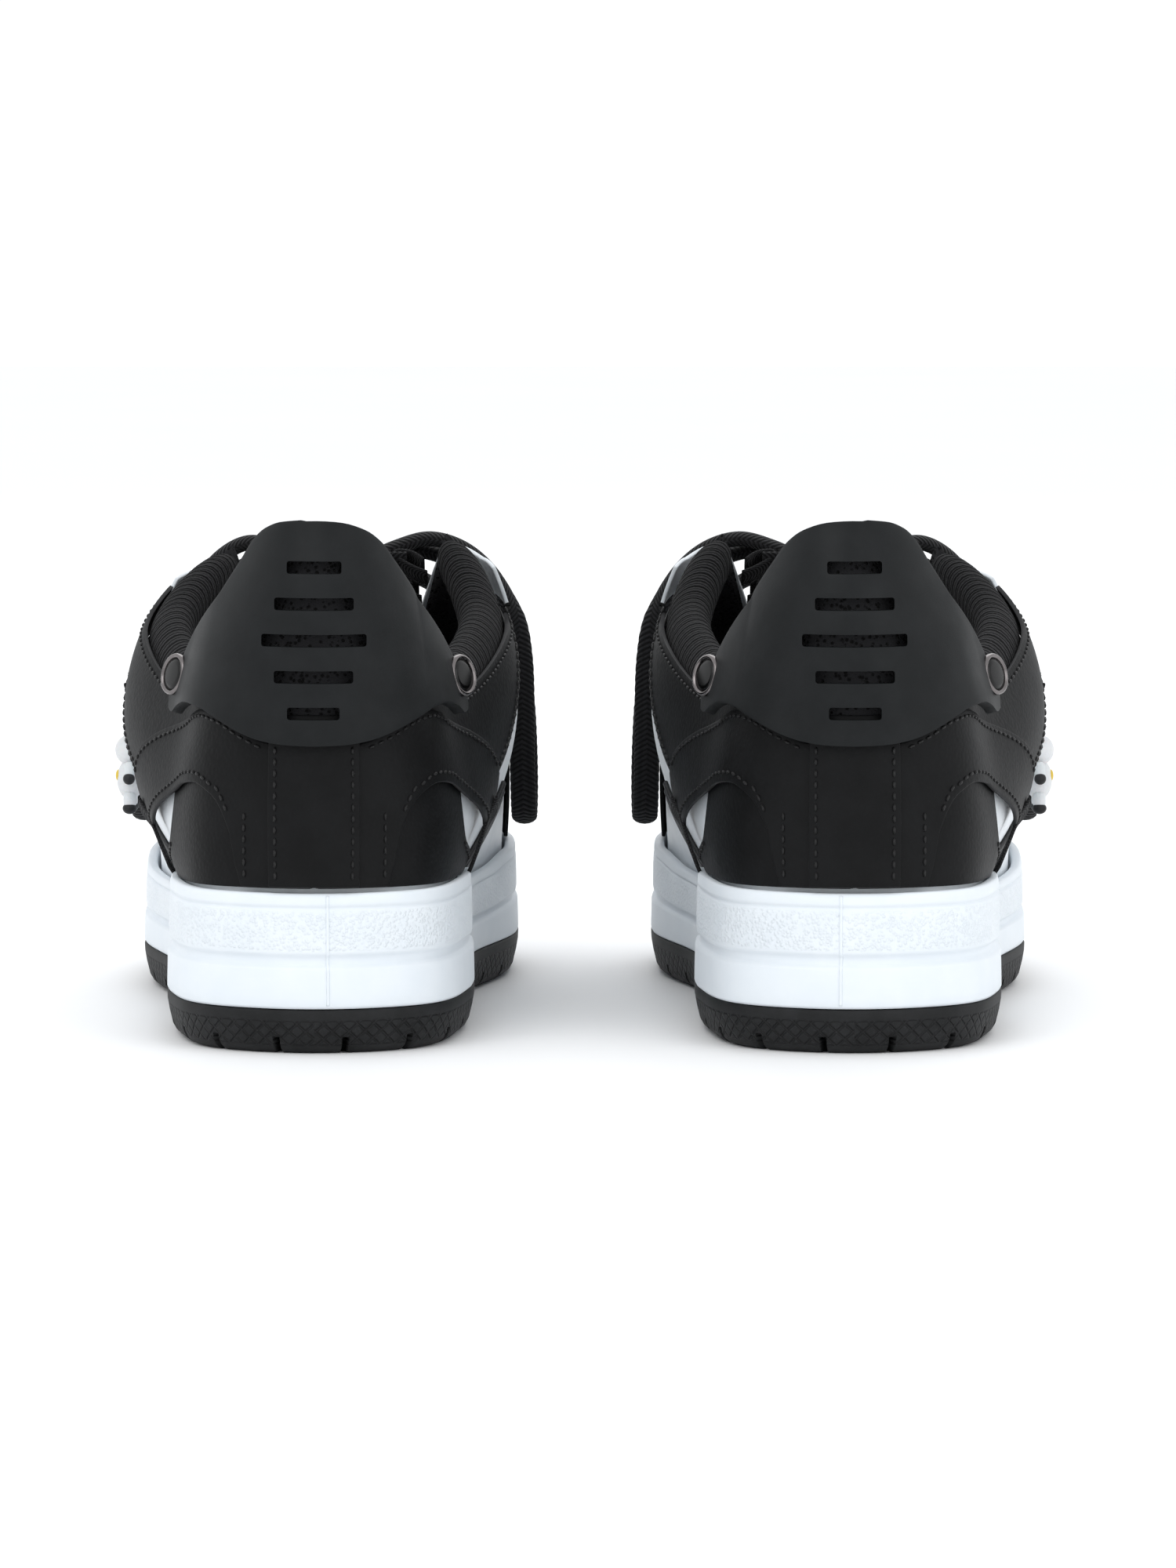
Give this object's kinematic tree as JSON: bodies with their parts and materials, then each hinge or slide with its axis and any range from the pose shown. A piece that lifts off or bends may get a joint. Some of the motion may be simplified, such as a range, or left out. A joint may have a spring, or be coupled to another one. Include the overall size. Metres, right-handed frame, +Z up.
{
  "type": "pair of platform sneakers",
  "caption": "Chunky low-top sneakers with cup soles, layered leather uppers, slotted rubber heel guards held by rivets, padded collars, fat flat laces tied in bows and small hanging charms.",
  "frame": {"origin": "middle of the pair, on the surface that the soles stand on", "axes": "+Z up, +Y towards the toes, +X towards the right shoe"},
  "size_m": [0.2746, 0.2896, 0.1448],
  "materials": {
    "outsole_rubber": "matte moulded rubber, diamond tread",
    "midsole_rubber": "satin moulded rubber with a pebbled band",
    "fibreboard": "pressed fibre",
    "insole_textile": "fine mesh over foam",
    "white_leather": "smooth coated leather",
    "black_leather": "fine grained leather, slight sheen",
    "mesh_lining": "spacer mesh",
    "guard_rubber": "matte moulded rubber",
    "rivet_metal": "dark gunmetal ring",
    "collar_knit": "ribbed knit",
    "lace_textile": "thick woven flat lace",
    "webbing": "grosgrain webbing",
    "ring_metal": "polished wire",
    "charm_plastic": "soft plastic"
  },
  "bodies": {
    "left_shoe": {"left_outsole": "outsole_rubber", "left_midsole": "midsole_rubber", "left_lasting_board": "fibreboard", "left_insole": "insole_textile", "left_upper_shell": "white_leather", "left_collar_lining": "mesh_lining", "left_heel_counter": "fibreboard", "left_toe_cap": "black_leather", "left_vamp": "white_leather", "left_eyestay": "white_leather", "left_quarter_lateral": "black_leather", "left_quarter_medial": "black_leather", "left_side_panel_lateral": "black_leather", "left_side_panel_medial": "black_leather", "left_heel_overlay_lateral": "black_leather", "left_heel_overlay_medial": "black_leather", "left_backstay": "black_leather", "left_heel_guard": "guard_rubber", "left_rivet_lateral": "rivet_metal", "left_rivet_medial": "rivet_metal", "left_collar_roll": "collar_knit", "left_lace": "lace_textile", "left_lace_loop_medial": "lace_textile", "left_lace_loop_lateral": "lace_textile", "left_lace_tail_medial": "lace_textile", "left_lace_tail_lateral": "lace_textile", "left_charm_tab": "webbing"},
    "left_tongue": {"left_tongue": "black_leather"},
    "left_charm_ring": {"left_charm_ring": "ring_metal"},
    "left_charm_figure": {"left_charm_figure": "charm_plastic"},
    "right_shoe": {"right_outsole": "outsole_rubber", "right_midsole": "midsole_rubber", "right_lasting_board": "fibreboard", "right_insole": "insole_textile", "right_upper_shell": "white_leather", "right_collar_lining": "mesh_lining", "right_heel_counter": "fibreboard", "right_toe_cap": "black_leather", "right_vamp": "white_leather", "right_eyestay": "white_leather", "right_quarter_lateral": "black_leather", "right_quarter_medial": "black_leather", "right_side_panel_lateral": "black_leather", "right_side_panel_medial": "black_leather", "right_heel_overlay_lateral": "black_leather", "right_heel_overlay_medial": "black_leather", "right_backstay": "black_leather", "right_heel_guard": "guard_rubber", "right_rivet_lateral": "rivet_metal", "right_rivet_medial": "rivet_metal", "right_collar_roll": "collar_knit", "right_lace": "lace_textile", "right_lace_loop_medial": "lace_textile", "right_lace_loop_lateral": "lace_textile", "right_lace_tail_medial": "lace_textile", "right_lace_tail_lateral": "lace_textile", "right_charm_tab": "webbing"},
    "right_tongue": {"right_tongue": "black_leather"},
    "right_charm_ring": {"right_charm_ring": "ring_metal"},
    "right_charm_figure": {"right_charm_figure": "charm_plastic"}
  },
  "joints": [
    {"name": "left_tongue_tilt", "type": "hinge", "parent": "left_shoe", "child": "left_tongue", "pos_m": [-0.0725, 0.07207, 0.066], "axis": [1, 0, 0], "range_deg": [0, 18], "stiffness_Nm_per_rad": 0.15, "springref_deg": -5.73},
    {"name": "left_charm_swing_out", "type": "hinge", "parent": "left_shoe", "child": "left_charm_ring", "pos_m": [-0.13134, 0.01137, 0.09], "axis": [0, 1, 0], "range_deg": [0, 70]},
    {"name": "left_charm_figure_sway", "type": "hinge", "parent": "left_charm_ring", "child": "left_charm_figure", "pos_m": [-0.13134, 0.01137, 0.084], "axis": [1, 0, 0], "range_deg": [-25, 25]},
    {"name": "right_tongue_tilt", "type": "hinge", "parent": "right_shoe", "child": "right_tongue", "pos_m": [0.0725, 0.07207, 0.066], "axis": [1, 0, 0], "range_deg": [0, 18], "stiffness_Nm_per_rad": 0.15, "springref_deg": -5.73},
    {"name": "right_charm_swing_out", "type": "hinge", "parent": "right_shoe", "child": "right_charm_ring", "pos_m": [0.13134, 0.01137, 0.09], "axis": [0, -1, 0], "range_deg": [0, 70]},
    {"name": "right_charm_figure_sway", "type": "hinge", "parent": "right_charm_ring", "child": "right_charm_figure", "pos_m": [0.13134, 0.01137, 0.084], "axis": [1, 0, 0], "range_deg": [-25, 25]},
    {"name": "right_shoe_lift", "type": "slide", "parent": "left_shoe", "child": "right_shoe", "axis": [0, 0, 1], "range_m": [0, 0.3]}
  ]
}
